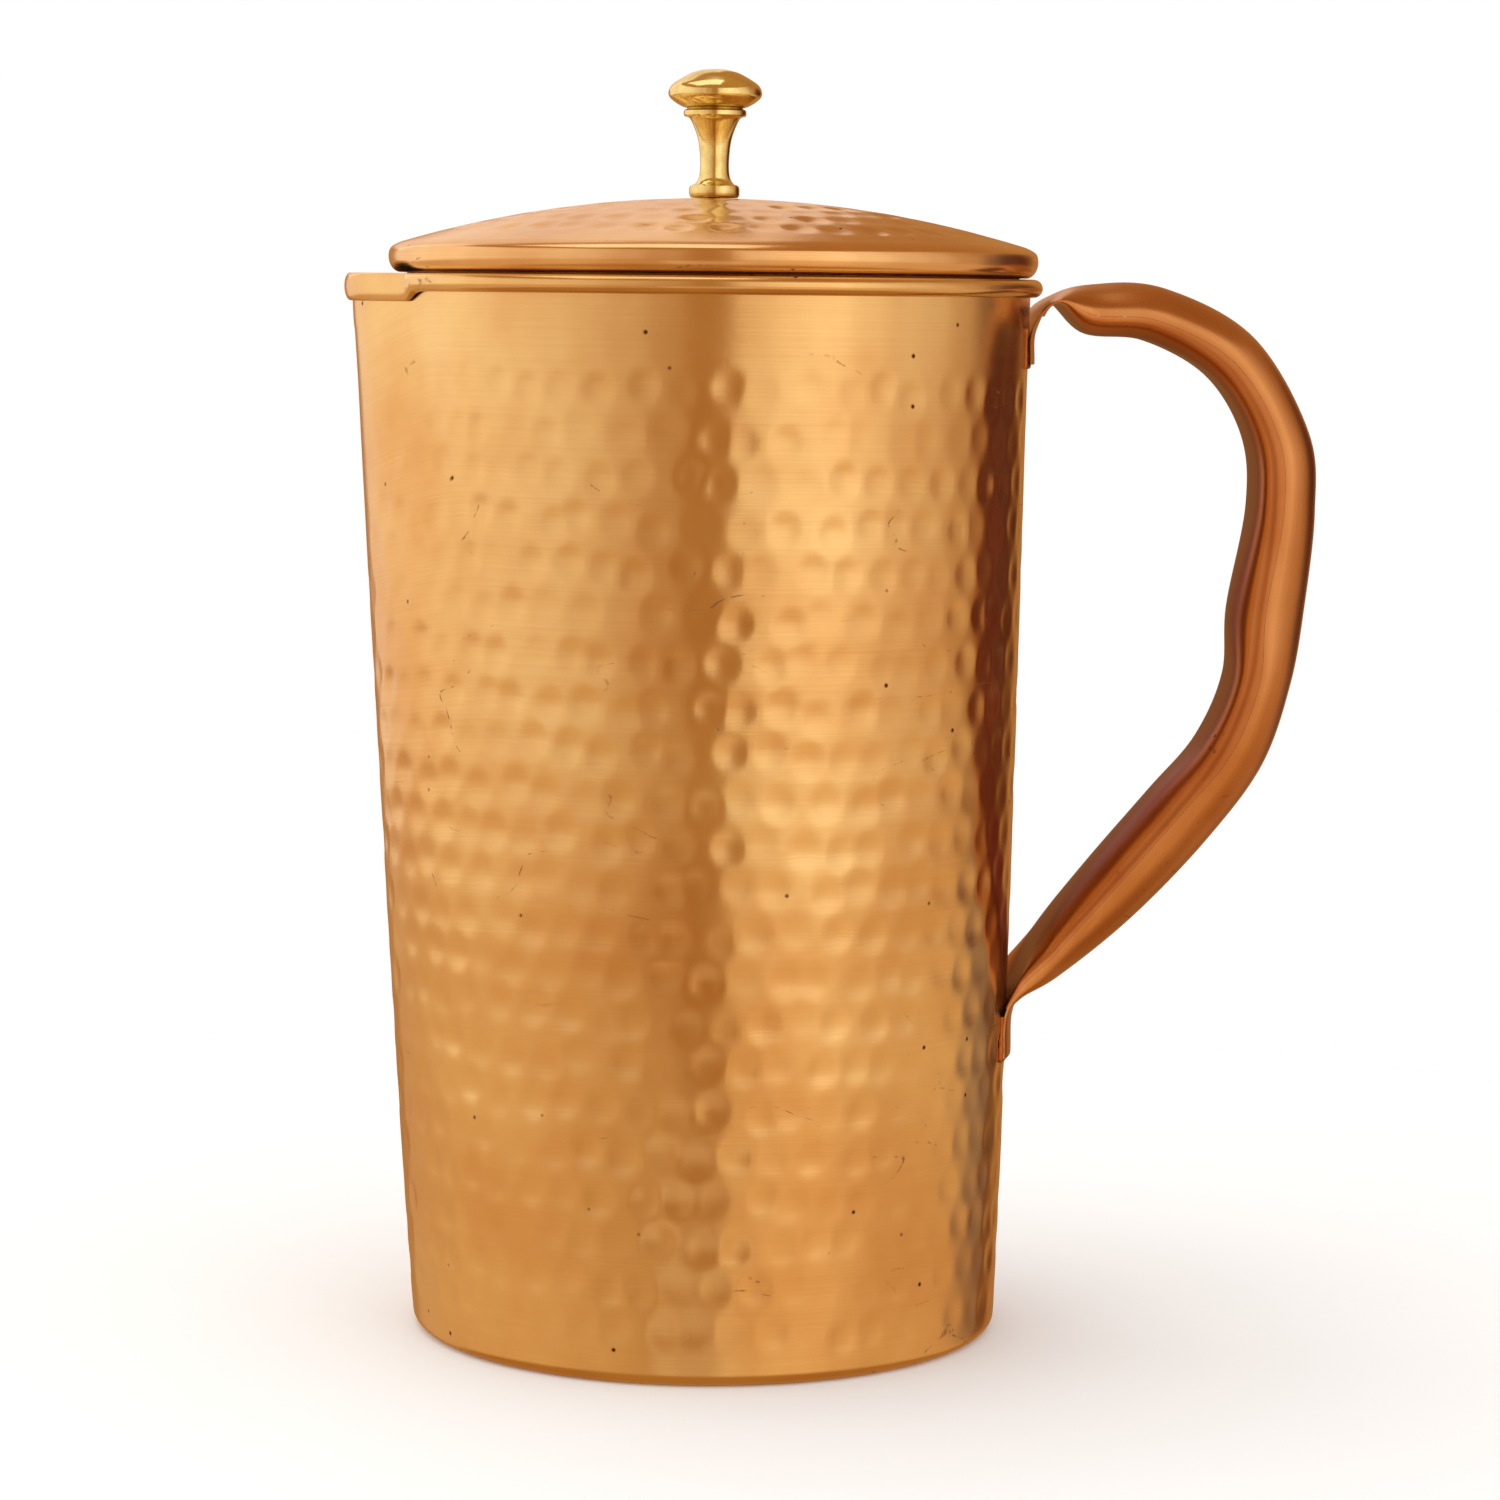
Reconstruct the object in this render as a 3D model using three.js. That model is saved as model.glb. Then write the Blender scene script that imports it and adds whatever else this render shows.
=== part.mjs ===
// Hammered copper water jug with a loose lid, a brass knob and a hollow two-shell handle.
// Millimetres, +Z up. The origin is the centre of the flat underside that the jug stands on.
// The pouring beak points along -X and the handle along +X.

import * as THREE from 'three';

// ---- Driving dimensions ----------------------------------------------------------------

const sheet = 0.8; // copper sheet of the body and lid
const gap = 0.3; // clearance kept between neighbouring pieces
const segments = 60; // facets round the body and lid

const bodyHeight = 207; // underside to the top of the rolled rim
const footRadius = 57.8; // outside of the wall, at the foot
const neckRadius = 61.8; // outside of the wall, just under the rim
const neckZ = 199;
const wallSwell = 0.68; // below 1, the wall swells out a little more near the foot
const footCorner = 2.5; // outside radius where the wall turns in under the foot
const footLipRadius = 51; // inner edge of the turned-in foot

const beadRadius = 1.75; // rolled rim, in section
const beadOuter = 64.3; // outside of the rolled rim
const wireRadius = 0.65;

const beakReach = 8.7; // how far the beak stands out from the round wall at the rim
const beakHalfAngle = 27; // degrees, at the rim
const beakFootHalfAngle = 75; // degrees, where the swelling dies away at the foot
const hemHeight = 5.4; // the rim's edge is a taller, flatter hem across the beak
const hemReach = 1.6;

const lidRadius = 63.3; // widest part of the lid's rounded edge
const lidCrown = 222.1; // top of the dome
const domeRadius = 210; // spherical radius of the dome
const collarRadius = 59.7; // outside of the ring that drops into the mouth
const collarBottom = 197;

const knobSeat = lidCrown + 0.25;
const knobHoleRadius = 1.6;
const knobHoleDepth = 10;

const shell = 0.7; // sheet of the handle's two pressed shells
const seamFraction = 0.38; // where the seam lies, from the inner to the outer side
const handleSteps = 46;

// ---- Helpers ---------------------------------------------------------------------------

const degrees = THREE.MathUtils.degToRad;
const mix = THREE.MathUtils.lerp;
const smooth = THREE.MathUtils.smoothstep;

const jug = new THREE.Group();

function finish(color, roughness, metalness = 1) {
  return new THREE.MeshStandardMaterial({ color, roughness, metalness });
}

function addPiece(name, geometry, material) {
  const mesh = new THREE.Mesh(geometry, material);
  mesh.name = name;
  jug.add(mesh);
}

// Revolves a closed section, given as [radius, height] points, about the Z axis.
function turned(section, facets = segments) {
  const points = section.map(([r, z]) => new THREE.Vector2(r, z));
  return new THREE.LatheGeometry(points, facets).rotateX(Math.PI / 2);
}

// Points on an arc in section, from one angle to another (degrees, 0 outwards, 90 up).
function arc(r, z, radius, from, to, steps) {
  const points = [];
  for (let i = 0; i <= steps; i += 1) {
    const angle = degrees(mix(from, to, i / steps));
    points.push([r + radius * Math.cos(angle), z + radius * Math.sin(angle)]);
  }
  return points;
}

// Moves each vertex of a geometry to where a function says.
function reshape(geometry, place) {
  const position = geometry.attributes.position;
  for (let i = 0; i < position.count; i += 1) {
    const [x, y, z] = place(position.getX(i), position.getY(i), position.getZ(i));
    position.setXYZ(i, x, y, z);
  }
  return geometry;
}

// ---- Body shape ------------------------------------------------------------------------

function wallRadius(z) {
  return mix(footRadius, neckRadius, (Math.max(z, 0) / neckZ) ** wallSwell);
}

// The beak is drawn out of the round wall: narrow and proud at the rim, wide and shallow
// lower down, gone at the foot. The rim's round bead turns into the hem across it.
function drawBeak(geometry) {
  return reshape(geometry, (x, y, z) => {
    const radius = Math.hypot(x, y);
    const fromBeak = Math.abs(Math.atan2(y, -x));
    const height = Math.min(z / bodyHeight, 1);
    const halfAngle = degrees(mix(beakFootHalfAngle, beakHalfAngle, height ** 1.5));
    const pull = fromBeak < halfAngle ? Math.cos((Math.PI / 2) * (fromBeak / halfAngle)) ** 2 : 0;
    const hemShare = Math.min(1, 1.6 * pull) * smooth(z, bodyHeight - 12, bodyHeight - 2 * beadRadius);
    const hemGrowth = hemHeight / (2 * beadRadius) - 1;
    const newZ = z - hemShare * hemGrowth * (bodyHeight - z);
    const proud = Math.max(radius - neckRadius, 0);
    const squeeze = 1 - hemReach / (beadOuter - neckRadius);
    const newRadius = radius - hemShare * squeeze * proud + beakReach * height * pull;
    const scale = radius > 0 ? newRadius / radius : 1;
    return [x * scale, y * scale, newZ];
  });
}

const beadCentre = [beadOuter - beadRadius, bodyHeight - beadRadius];
const ringLevels = [8, 25, 50, 80, 115, 145, 172, 192];

function makeBodyWall() {
  const outside = ringLevels.map((z) => [wallRadius(z), z]);
  const inside = outside.map(([r, z]) => [r - sheet, z]).reverse();
  const footCentre = wallRadius(footCorner) - footCorner;
  const section = [
    [footLipRadius, 0],
    ...arc(footCentre, footCorner, footCorner, -90, 0, 3),
    ...outside,
    [neckRadius, bodyHeight - 3.6],
    ...arc(...beadCentre, beadRadius - sheet, 238, -92, 6),
    ...arc(...beadCentre, beadRadius, -92, 225, 8),
    [neckRadius - sheet, bodyHeight - 4.4],
    ...inside,
    ...arc(footCentre, footCorner, footCorner - sheet, 0, -90, 2),
    [footLipRadius, sheet],
  ];
  section.push(section[0]);
  return drawBeak(turned(section));
}

function makeBasePan() {
  const joggle = footLipRadius - gap;
  const shelf = sheet + gap;
  const flangeTop = 6;
  const inset = sheet + gap;
  const section = [
    [0, 0],
    [joggle, 0],
    [joggle, shelf],
    [wallRadius(3) - inset - 1.8, shelf],
    [wallRadius(3) - inset - 0.5, shelf + 0.5],
    [wallRadius(3) - inset, 3],
    [wallRadius(flangeTop) - inset, flangeTop],
    [wallRadius(flangeTop) - inset - sheet, flangeTop],
    [wallRadius(3) - inset - sheet, 3],
    [wallRadius(3) - inset - 2, shelf + sheet],
    [joggle - sheet, shelf + sheet],
    [joggle - sheet, sheet],
    [0, sheet],
  ];
  return drawBeak(turned(section));
}

function makeRimWire() {
  const stop = beakHalfAngle + 3;
  const steps = 44;
  const points = [];
  for (let i = 0; i <= steps; i += 1) {
    const angle = degrees(mix(-180 + stop, 180 - stop, i / steps));
    points.push(new THREE.Vector3(Math.cos(angle), Math.sin(angle), 0).multiplyScalar(beadCentre[0]));
  }
  const round = new THREE.Shape().absarc(0, 0, wireRadius, 0, 2 * Math.PI);
  const path = new THREE.CatmullRomCurve3(points);
  const options = { extrudePath: path, steps, curveSegments: 3 };
  return new THREE.ExtrudeGeometry(round, options).translate(0, 0, beadCentre[1]);
}

// ---- Lid -------------------------------------------------------------------------------

function domeHeight(r) {
  return lidCrown - domeRadius + Math.sqrt(domeRadius ** 2 - r ** 2);
}

function makeLidDome() {
  const holeRadius = 2;
  const shoulder = 60.8;
  const radii = [holeRadius, 14, 26, 37, 46, 54, shoulder];
  const rest = bodyHeight + gap;
  const dome = radii.map((r) => [r, domeHeight(r)]);
  const edge = [
    [lidRadius - 1.2, domeHeight(shoulder) - 0.6],
    [lidRadius - 0.3, rest + 4.5],
    [lidRadius, rest + 3.2],
    [lidRadius - 0.2, rest + 1.8],
    [lidRadius - 0.9, rest + 0.6],
    [lidRadius - 1.9, rest],
  ];
  const edgeInside = [
    [lidRadius - 2.9, rest],
    [lidRadius - 2.9, rest + sheet],
    [lidRadius - 1.8, rest + sheet],
    [lidRadius - 1.0, rest + 2.0],
    [lidRadius - sheet, rest + 3.2],
    [lidRadius - 1.1, rest + 4.1],
    [lidRadius - 1.8, domeHeight(shoulder) - 1.3],
  ];
  const underside = dome.map(([r, z]) => [r, z - sheet]).reverse();
  const section = [...dome, ...edge, ...edgeInside, ...underside, dome[0]].reverse();
  return turned(section);
}

function makeLidCollar() {
  const clear = sheet + gap;
  const flangeRadius = 54;
  const section = [
    [collarRadius - sheet, collarBottom],
    [collarRadius, collarBottom],
    [collarRadius, domeHeight(collarRadius) - clear],
    [flangeRadius, domeHeight(flangeRadius) - clear],
    [flangeRadius, domeHeight(flangeRadius) - clear - sheet],
    [collarRadius - sheet, domeHeight(collarRadius) - clear - sheet],
  ];
  section.push(section[0]);
  return turned(section);
}

function makeKnob() {
  const section = [
    [knobHoleRadius, knobSeat],
    [4.7, knobSeat],
    [4.9, knobSeat + 0.8],
    [4.7, knobSeat + 2.1],
    [3.3, knobSeat + 3.1],
    [2.9, knobSeat + 4.4],
    [2.8, knobSeat + 6.8],
    [3.1, knobSeat + 10.2],
    [3.7, knobSeat + 12.5],
    [4.7, knobSeat + 14.8],
    [6.1, knobSeat + 15.7],
    [6.1, knobSeat + 17.1],
    [7.8, knobSeat + 18.2],
    [8.9, knobSeat + 19.2],
    [9.1, knobSeat + 20.2],
    [8.5, knobSeat + 21.5],
    [7.0, knobSeat + 22.6],
    [4.6, knobSeat + 23.9],
    [2.4, knobSeat + 24.5],
    [0, knobSeat + 24.65],
    [0, knobSeat + knobHoleDepth],
    [knobHoleRadius, knobSeat + knobHoleDepth],
  ];
  section.push(section[0]);
  return turned(section, 24);
}

const washerTop = lidCrown - sheet - gap;

function makeWasher() {
  const section = [
    [knobHoleRadius + 0.2, washerTop - sheet],
    [6, washerTop - sheet],
    [6, washerTop - 0.1],
    [knobHoleRadius + 0.2, washerTop],
  ];
  section.push(section[0]);
  return turned(section, 24);
}

function makeScrew() {
  const headTop = washerTop - sheet - gap;
  const shankRadius = knobHoleRadius - gap;
  const section = [
    [0, headTop - 2.2],
    [1.9, headTop - 2.1],
    [2.7, headTop - 1.5],
    [3, headTop],
    [shankRadius, headTop],
    [shankRadius, knobSeat + knobHoleDepth - 1],
    [0, knobSeat + knobHoleDepth - gap],
  ];
  return turned(section, 20);
}

// ---- Handle ----------------------------------------------------------------------------

// Cross-sections from the end of the upper tab to the end of the lower one. Each gives the
// outer and the inner side of the hollow handle in the XZ plane, its half width, and how
// square it is, from 0 for round to 1 for pressed flat.
const handleSections = [
  { outer: [61.9, 190.6], inner: [63.1, 190.6], half: 14.5, square: 1 },
  { outer: [62.2, 197.2], inner: [63.4, 197.2], half: 14.5, square: 1 },
  { outer: [66.0, 203.7], inner: [66.6, 202.4], half: 14.5, square: 1 },
  { outer: [74.0, 206.2], inner: [72.6, 196.6], half: 13.2, square: 0.4 },
  { outer: [88.0, 205.6], inner: [84.4, 195.3], half: 12.5, square: 0.3 },
  { outer: [105.6, 196.4], inner: [97.4, 188.4], half: 12.5, square: 0.7 },
  { outer: [117.0, 177.8], inner: [104.9, 176.6], half: 12.5, square: 0.8 },
  { outer: [118.6, 162.2], inner: [106.1, 162.8], half: 12.5, square: 0.8 },
  { outer: [117.0, 143.4], inner: [102.2, 142.8], half: 12.5, square: 0.3 },
  { outer: [114.6, 128.2], inner: [102.1, 129.2], half: 12.5, square: 0.8 },
  { outer: [109.3, 112.0], inner: [96.8, 116.8], half: 12.5, square: 0.7 },
  { outer: [98.8, 97.2], inner: [87.5, 106.4], half: 12.6, square: 0.2 },
  { outer: [85.0, 82.4], inner: [74.8, 91.2], half: 13.2, square: 0.2 },
  { outer: [71.5, 71.2], inner: [65.8, 78.7], half: 14.2, square: 0.5 },
  { outer: [62.7, 66.6], inner: [61.3, 68.6], half: 15.5, square: 1 },
  { outer: [60.4, 63.0], inner: [59.2, 63.0], half: 16, square: 1 },
  { outer: [60.2, 55.1], inner: [59.0, 55.1], half: 16, square: 1 },
];

function curveOf(read) {
  const points = handleSections.map((section) => new THREE.Vector3(...read(section)));
  return new THREE.CatmullRomCurve3(points, false, 'catmullrom', 0.5);
}

const outerLine = curveOf(({ outer }) => [outer[0], 0, outer[1]]);
const innerLine = curveOf(({ inner }) => [inner[0], 0, inner[1]]);
const sizeLine = curveOf(({ half, square }) => [half, square, 0]);

// A point on one of the two shells: along 0 to 1 from the upper tab to the lower one,
// across 0 to 1 from the far edge to the near one, skin 0 inside and 1 outside. The flat
// tabs bend round the wall.
function handlePoint(side, along, across, skin) {
  const outer = outerLine.getPoint(along);
  const inner = innerLine.getPoint(along);
  const size = sizeLine.getPoint(along);
  const seam = inner.clone().lerp(outer, seamFraction);
  const out = outer.clone().sub(inner);
  const share = side > 0 ? 1 - seamFraction : seamFraction;
  const full = out.length() * share;
  const depth = skin ? full : Math.max(full - shell, 0);
  const half = skin ? size.x : size.x - shell;
  const tab = 1 - smooth(seam.x, 62.5, 68);
  const flatness = side > 0 ? tab : Math.max(tab, size.y);
  const power = mix(0.95, 0.4, THREE.MathUtils.clamp(flatness, 0, 1));
  const angle = Math.PI * across;
  const y = half * Math.sign(Math.cos(angle)) * Math.abs(Math.cos(angle)) ** power;
  const rise = depth * Math.abs(Math.sin(angle)) ** power + gap / 2;
  const point = seam.addScaledVector(out.normalize(), side * rise);
  const bend = neckRadius - Math.sqrt(neckRadius ** 2 - y ** 2);
  return [point.x + gap - tab * bend, y, point.z];
}

// A box whose length runs along the handle, width across it and height through the sheet.
// The inner shell stops a few steps short of both tabs.
function makeHandleShell(side, stepsShort) {
  const length = handleSteps - 2 * stepsShort;
  const box = new THREE.BoxGeometry(1, 1, length, 8, 1, length);
  return reshape(box, (x, y, z) => {
    const across = side > 0 ? 0.5 - x : 0.5 + x;
    return handlePoint(side, 0.5 + z / handleSteps, across, y > 0 ? 1 : 0);
  });
}

// ---- Assembly --------------------------------------------------------------------------

const bodyCopper = finish('#c98a52', 0.38);
const handleCopper = finish('#c07a48', 0.34);

addPiece('body_wall', makeBodyWall(), bodyCopper);
addPiece('base_pan', makeBasePan(), finish('#c4854f', 0.4));
addPiece('rim_wire', makeRimWire(), finish('#8d8f92', 0.45));
addPiece('handle_outer_shell', makeHandleShell(1, 0), handleCopper);
addPiece('handle_inner_shell', makeHandleShell(-1, 4), finish('#b87344', 0.36));
addPiece('lid_dome', makeLidDome(), finish('#c98d58', 0.36));
addPiece('lid_collar', makeLidCollar(), finish('#c58650', 0.42));
addPiece('knob', makeKnob(), finish('#d8b04f', 0.18));
addPiece('knob_washer', makeWasher(), finish('#c9a24a', 0.3));
addPiece('knob_screw', makeScrew(), finish('#9a9ca0', 0.3));

export default jug;
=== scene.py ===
# Hammered copper water jug: the looks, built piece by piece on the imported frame.
# Lengths are in millimetres until a mesh is made, which turns them into metres.

import math

import bpy
import numpy as np
from mathutils import Matrix, Vector


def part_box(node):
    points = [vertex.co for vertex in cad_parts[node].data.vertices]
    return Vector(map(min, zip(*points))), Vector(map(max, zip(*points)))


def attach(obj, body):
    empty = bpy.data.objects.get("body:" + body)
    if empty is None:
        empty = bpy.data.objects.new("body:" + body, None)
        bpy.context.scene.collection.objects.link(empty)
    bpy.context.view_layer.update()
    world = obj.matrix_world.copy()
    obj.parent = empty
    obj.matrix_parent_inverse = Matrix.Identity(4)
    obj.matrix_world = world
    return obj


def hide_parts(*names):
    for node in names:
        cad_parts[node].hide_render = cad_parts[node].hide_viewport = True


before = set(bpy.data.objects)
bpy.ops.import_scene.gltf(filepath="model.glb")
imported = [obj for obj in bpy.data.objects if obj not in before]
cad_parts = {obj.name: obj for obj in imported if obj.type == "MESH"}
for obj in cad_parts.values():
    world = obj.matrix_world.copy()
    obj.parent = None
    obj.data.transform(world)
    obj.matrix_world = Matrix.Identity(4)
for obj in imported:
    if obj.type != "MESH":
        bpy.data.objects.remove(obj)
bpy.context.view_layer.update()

MM = 0.001


# ---- Body wall ---------------------------------------------------------------------------
# Copper sheet raised into a tapered wall, hammered in rows, its top edge rolled outwards over
# a wire and its foot turned in. The pouring beak is drawn out of the wall, and across it the
# rolled edge becomes a taller, flatter hem.

sheet = 0.8
body_low, body_high = [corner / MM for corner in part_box("body_wall")]
body_height = body_high.z
bead_outer = body_high.x
bead_radius = 1.75
foot_radius, neck_radius, neck_height = 57.8, 61.8, 199.0
wall_swell = 0.68
foot_corner, foot_lip_radius = 2.5, 51.0
hem_height, hem_reach = 5.4, 1.6
beak_half_angle, beak_foot_half_angle = 27.0, 75.0
beak_reach = -body_low.x - neck_radius - hem_reach


def wall_radius(z):
    return foot_radius + (neck_radius - foot_radius) * (max(z, 0) / neck_height) ** wall_swell


def arc(radius_at, height_at, radius, start, end, steps):
    """Section points on an arc, in degrees: 0 points outwards and 90 up."""
    angles = np.radians(np.linspace(start, end, steps + 1))
    return [(radius_at + radius * math.cos(a), height_at + radius * math.sin(a)) for a in angles]


def revolve(section, around):
    """Rings of points round the Z axis, one ring for each (radius, height) of a section."""
    angles = np.linspace(0, 2 * np.pi, around, endpoint=False)
    turns = np.stack([np.cos(angles), np.sin(angles)], axis=1)
    return [np.column_stack([r * turns, np.full(around, z)]) for r, z in section]


def draw_beak(ring):
    """Pulls a ring of the round wall out into the beak, and its bead into the hem."""
    x, y, z = ring.T
    radius = np.hypot(x, y)
    from_beak = np.degrees(np.abs(np.arctan2(y, -x)))
    height = np.clip(z / body_height, 0, 1)
    half_angle = beak_foot_half_angle + (beak_half_angle - beak_foot_half_angle) * height**1.5
    pull = np.cos(np.pi / 2 * np.clip(from_beak / half_angle, 0, 1)) ** 2
    rise = np.clip((z - body_height + 12) / (12 - 2 * bead_radius), 0, 1)
    hem = np.clip(9 * pull, 0, 1)
    hem = hem * hem * (3 - 2 * hem) * rise * rise * (3 - 2 * rise)
    new_z = z - hem * (hem_height / (2 * bead_radius) - 1) * (body_height - z)
    proud = np.maximum(radius - neck_radius, 0)
    squeeze = 1 - hem_reach / (bead_outer - neck_radius)
    new_radius = radius - hem * squeeze * proud + beak_reach * height * pull
    return np.column_stack([x * new_radius / radius, y * new_radius / radius, new_z])


def join_rings(rings, closed):
    """Points and faces of the skin through a list of rings. A ring may have half as many
    points as the one before it; closed joins the last ring to the first."""
    starts = np.cumsum([0] + [len(ring) for ring in rings])
    faces = []
    pairs = list(zip(range(len(rings)), range(1, len(rings))))
    if closed:
        pairs.append((len(rings) - 1, 0))
    for a, b in pairs:
        wide, narrow = (a, b) if len(rings[a]) >= len(rings[b]) else (b, a)
        count = len(rings[narrow])
        i = np.arange(count)
        j = (i + 1) % count
        if len(rings[wide]) == count:
            quads = np.stack([starts[a] + i, starts[a] + j, starts[b] + j, starts[b] + i], axis=1)
            faces += quads.tolist()
            continue
        first, middle, last = starts[wide] + 2 * i, starts[wide] + 2 * i + 1, starts[wide] + 2 * j
        i, j = starts[narrow] + i, starts[narrow] + j
        halves = [(first, middle, i), (middle, j, i), (middle, last, j)]
        for corners in halves:
            triangles = np.stack(corners if wide == a else corners[::-1], axis=1)
            faces += triangles.tolist()
    return np.vstack(rings), faces


def make_mesh(name, points, faces, crease=40):
    """A smooth mesh object in metres, faces outwards, with edges sharper than crease kept."""
    mesh = bpy.data.meshes.new(name)
    mesh.from_pydata((np.asarray(points) * MM).tolist(), [], faces)
    mesh.update()
    corners = np.asarray(points, float)
    inside = corners.mean(axis=0)
    volume = 0.0
    for face in faces:
        a, b = corners[face[0]] - inside, corners[face[1]] - inside
        for k in face[2:]:
            c = corners[k] - inside
            volume += (a[1] * b[2] - a[2] * b[1]) * c[0]
            volume += (a[2] * b[0] - a[0] * b[2]) * c[1]
            volume += (a[0] * b[1] - a[1] * b[0]) * c[2]
            b = c
    if volume < 0:
        mesh.flip_normals()
    mesh.shade_smooth()
    mesh.set_sharp_from_angle(angle=math.radians(crease))
    made = bpy.data.objects.new(name, mesh)
    bpy.context.scene.collection.objects.link(made)
    return made


def add_node(tree, kind, inputs=None, **settings):
    """Adds a node with its settings. Each input, by name or number, takes a value, a socket
    to link from, or a node, whose first output in use is then linked."""
    node = tree.nodes.new(kind)
    for name, value in settings.items():
        setattr(node, name, value)
    for key, value in (inputs or {}).items():
        if isinstance(value, bpy.types.Node):
            value = next(output for output in value.outputs if output.enabled)
        if isinstance(value, bpy.types.NodeSocket):
            tree.links.new(value, node.inputs[key])
        else:
            node.inputs[key].default_value = value
    return node


def linear(colour):
    """An sRGB hex colour as the linear one that the shaders work in."""
    channels = [int(colour[i : i + 2], 16) / 255 for i in (1, 3, 5)]
    return [c / 12.92 if c <= 0.04045 else ((c + 0.055) / 1.055) ** 2.4 for c in channels] + [1]


def satin_copper(name, bright, deep, roughness, brushed="round", stretch=0.0, wear=1.0):
    """Copper sheet scoured to a satin finish. Fine scour lines run round the piece, or along
    it, and stretch its highlights across them; the tint wanders between two copper tones,
    and handling has left specks and a few broken scratches. Sizes are in millimetres."""
    line_pitch, line_length = 0.35, 30  # real lines are nearer 0.05 mm: drawn to show
    cloud, grain, fleck, scratch_run, scratch_patch = 42, 2.2, 4.5, 34, 17
    line_relief, grain_relief, mark_relief = 0.0045, 0.012, -0.03
    material = bpy.data.materials.new(name)
    material.use_nodes = True
    tree = material.node_tree
    shader = tree.nodes["Principled BSDF"]
    place = add_node(tree, "ShaderNodeTexCoord").outputs["Object"]
    place = add_node(tree, "ShaderNodeVectorMath", {0: place, "Scale": 1 / MM}, operation="SCALE")
    axes = add_node(tree, "ShaderNodeSeparateXYZ", {0: place}).outputs
    if brushed == "round":
        flat = add_node(tree, "ShaderNodeCombineXYZ", {0: axes[0], 1: axes[1]})
        reach = add_node(tree, "ShaderNodeVectorMath", {0: flat}, operation="LENGTH")
        across = add_node(tree, "ShaderNodeMath", {0: reach.outputs["Value"], 1: axes[2]}, operation="ADD")
    else:
        across = axes[1]
    shift = add_node(tree, "ShaderNodeMath", {0: across, 1: line_length / line_pitch}, operation="MULTIPLY")
    spread = add_node(tree, "ShaderNodeCombineXYZ", {0: shift, 1: shift, 2: shift})
    lines = add_node(tree, "ShaderNodeVectorMath", {0: place, 1: spread}, operation="ADD")
    lines = add_node(
        tree, "ShaderNodeTexNoise", {"Vector": lines, "Scale": 1 / line_length, "Detail": 2, "Roughness": 0.6}
    ).outputs[0]
    clouds = add_node(
        tree, "ShaderNodeTexNoise", {"Vector": place, "Scale": 1 / cloud, "Detail": 4, "Roughness": 0.55}
    ).outputs[0]
    grit = add_node(
        tree, "ShaderNodeTexNoise", {"Vector": place, "Scale": 1 / grain, "Detail": 3, "Roughness": 0.6}
    ).outputs[0]

    # Scratches: thin level lines of a slanting noise, broken into dots by the grit.
    slanted = add_node(
        tree,
        "ShaderNodeMapping",
        {"Vector": place, "Rotation": (0.5, 0.6, 0.3), "Scale": (1, 1, 2.6)},
    )
    slant = add_node(
        tree, "ShaderNodeTexNoise", {"Vector": slanted, "Scale": 1 / scratch_run, "Detail": 1.5}
    ).outputs[0]
    level = add_node(tree, "ShaderNodeMath", {0: slant, 1: 0.52}, operation="SUBTRACT")
    level = add_node(tree, "ShaderNodeMath", {0: level}, operation="ABSOLUTE")
    thin = add_node(
        tree, "ShaderNodeMapRange", {"Value": level, "From Max": 0.006, "To Min": 1, "To Max": 0}
    )
    rare = add_node(
        tree, "ShaderNodeTexNoise", {"Vector": place, "Scale": 1 / scratch_patch, "Detail": 1}
    ).outputs[0]
    rare = add_node(
        tree, "ShaderNodeMapRange", {"Value": rare, "From Min": 0.56, "From Max": 0.63, "To Max": 0.7}
    )
    dots = add_node(tree, "ShaderNodeMapRange", {"Value": grit, "From Min": 0.5, "From Max": 0.62})
    scratch = add_node(tree, "ShaderNodeMath", {0: thin, 1: rare}, operation="MULTIPLY")
    scratch = add_node(tree, "ShaderNodeMath", {0: scratch, 1: dots}, operation="MULTIPLY")

    # Specks: the hearts of a few scattered cells.
    cells = add_node(tree, "ShaderNodeTexVoronoi", {"Vector": place, "Scale": 1 / fleck}).outputs
    heart = add_node(
        tree,
        "ShaderNodeMapRange",
        {"Value": cells["Distance"], "From Min": 0.05, "From Max": 0.13, "To Min": 1, "To Max": 0},
    )
    chosen = add_node(tree, "ShaderNodeSeparateColor", {0: cells["Color"]})
    chosen = add_node(tree, "ShaderNodeMath", {0: chosen, 1: 0.9}, operation="GREATER_THAN")
    specks = add_node(tree, "ShaderNodeMath", {0: heart, 1: chosen}, operation="MULTIPLY")
    marks = add_node(tree, "ShaderNodeMath", {0: specks, 1: scratch}, operation="MAXIMUM")
    marks = add_node(tree, "ShaderNodeMath", {0: marks, 1: wear}, operation="MULTIPLY", use_clamp=True)

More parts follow.
